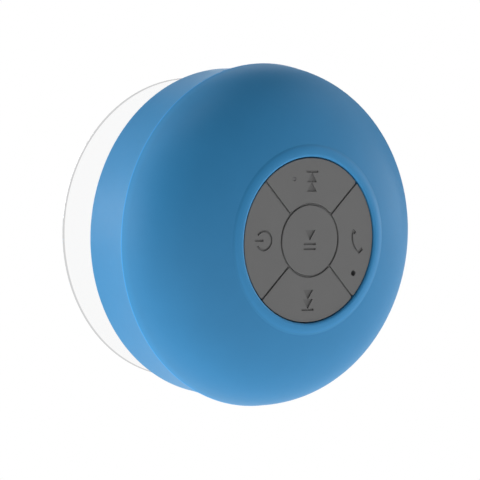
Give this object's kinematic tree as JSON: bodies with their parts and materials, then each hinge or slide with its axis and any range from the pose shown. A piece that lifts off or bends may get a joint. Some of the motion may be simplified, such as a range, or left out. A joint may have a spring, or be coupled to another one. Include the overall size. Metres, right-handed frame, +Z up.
{
  "type": "shower speaker",
  "caption": "Round wireless shower speaker with a rubber-coated dome, a keypad on its front and a clear suction cup behind.",
  "frame": {"origin": "centre of the suction cup's contact ring, on the wall plane", "axes": "+Z up, the keys face -Y, the wall is on the +Y side, +X to the right seen from the front"},
  "size_m": [0.085, 0.0504, 0.085],
  "materials": {
    "blue_case": "soft-touch matt",
    "blue_rubber": "matt",
    "grey_keys": "matt",
    "grey_web": "matt",
    "clear_cup": "clear",
    "white_plastic": "satin",
    "black_plastic": "satin",
    "silicone": "matt",
    "black_rubber": "matt",
    "steel": "bright",
    "board_green": "solder mask",
    "can_metal": "satin",
    "cell_wrap": "foil",
    "foam": "foam",
    "wire": "gloss",
    "ferrite": "plated",
    "copper": "enamelled",
    "paper": "pulp",
    "cloth": "woven",
    "clear_pipe": "translucent"
  },
  "bodies": {
    "cup": {"suction_cup": "clear_cup", "cup_stud": "white_plastic", "stud_washer": "white_plastic", "stud_clip": "steel"},
    "speaker": {"front_shell": "blue_case", "rear_shell": "blue_case", "shell_seal": "black_rubber", "cover_hinge_pin": "steel", "charging_board": "board_green", "charging_socket": "steel", "keypad_frame": "grey_web", "key_mat": "silicone", "light_pipe": "clear_pipe", "main_board": "board_green", "microphone": "can_metal", "status_led": "white_plastic", "wireless_module": "can_metal", "amplifier_chip": "black_plastic", "charge_chip": "black_plastic", "inductor": "ferrite", "capacitors": "can_metal", "battery_connector": "white_plastic", "speaker_connector": "white_plastic", "battery": "cell_wrap", "battery_tray": "black_plastic", "battery_pad": "foam", "battery_leads": "wire", "speaker_leads": "wire", "charging_leads": "wire", "speaker_frame": "steel", "yoke": "steel", "magnet": "ferrite", "pole_plate": "steel", "voice_coil": "copper", "spider": "cloth", "cone": "paper", "surround": "black_rubber", "dust_cap": "paper", "speaker_gasket": "foam", "slot_cloth": "cloth", "shell_screws": "steel", "board_screws": "steel", "speaker_screws": "steel", "charging_board_screws": "steel"},
    "key_centre_body": {"key_centre": "grey_keys", "nub_centre": "silicone"},
    "key_up_body": {"key_up": "grey_keys", "nub_up": "silicone"},
    "key_down_body": {"key_down": "grey_keys", "nub_down": "silicone"},
    "key_power_body": {"key_power": "grey_keys", "nub_power": "silicone"},
    "key_call_body": {"key_call": "grey_keys", "nub_call": "silicone"},
    "cover": {"port_cover": "blue_rubber"}
  },
  "joints": [
    {"name": "cup_swivel", "type": "hinge", "parent": "cup", "child": "speaker", "pos_m": [0, -0.018, 0], "axis": [0, 1, 0], "continuous": true},
    {"name": "press_centre", "type": "slide", "parent": "speaker", "child": "key_centre_body", "axis": [0, 1, 0], "range_m": [0, 0.0005], "stiffness_N_per_m": 1500, "springref_m": -0.0006},
    {"name": "press_up", "type": "slide", "parent": "speaker", "child": "key_up_body", "axis": [0, 1, 0], "range_m": [0, 0.0005], "stiffness_N_per_m": 1500, "springref_m": -0.0006},
    {"name": "press_down", "type": "slide", "parent": "speaker", "child": "key_down_body", "axis": [0, 1, 0], "range_m": [0, 0.0005], "stiffness_N_per_m": 1500, "springref_m": -0.0006},
    {"name": "press_power", "type": "slide", "parent": "speaker", "child": "key_power_body", "axis": [0, 1, 0], "range_m": [0, 0.0005], "stiffness_N_per_m": 1500, "springref_m": -0.0006},
    {"name": "press_call", "type": "slide", "parent": "speaker", "child": "key_call_body", "axis": [0, 1, 0], "range_m": [0, 0.0005], "stiffness_N_per_m": 1500, "springref_m": -0.0006},
    {"name": "cover_hinge", "type": "hinge", "parent": "speaker", "child": "cover", "pos_m": [0.03985, -0.0238, 0.0072], "axis": [0, -1, 0], "range_deg": [0, 90]}
  ]
}
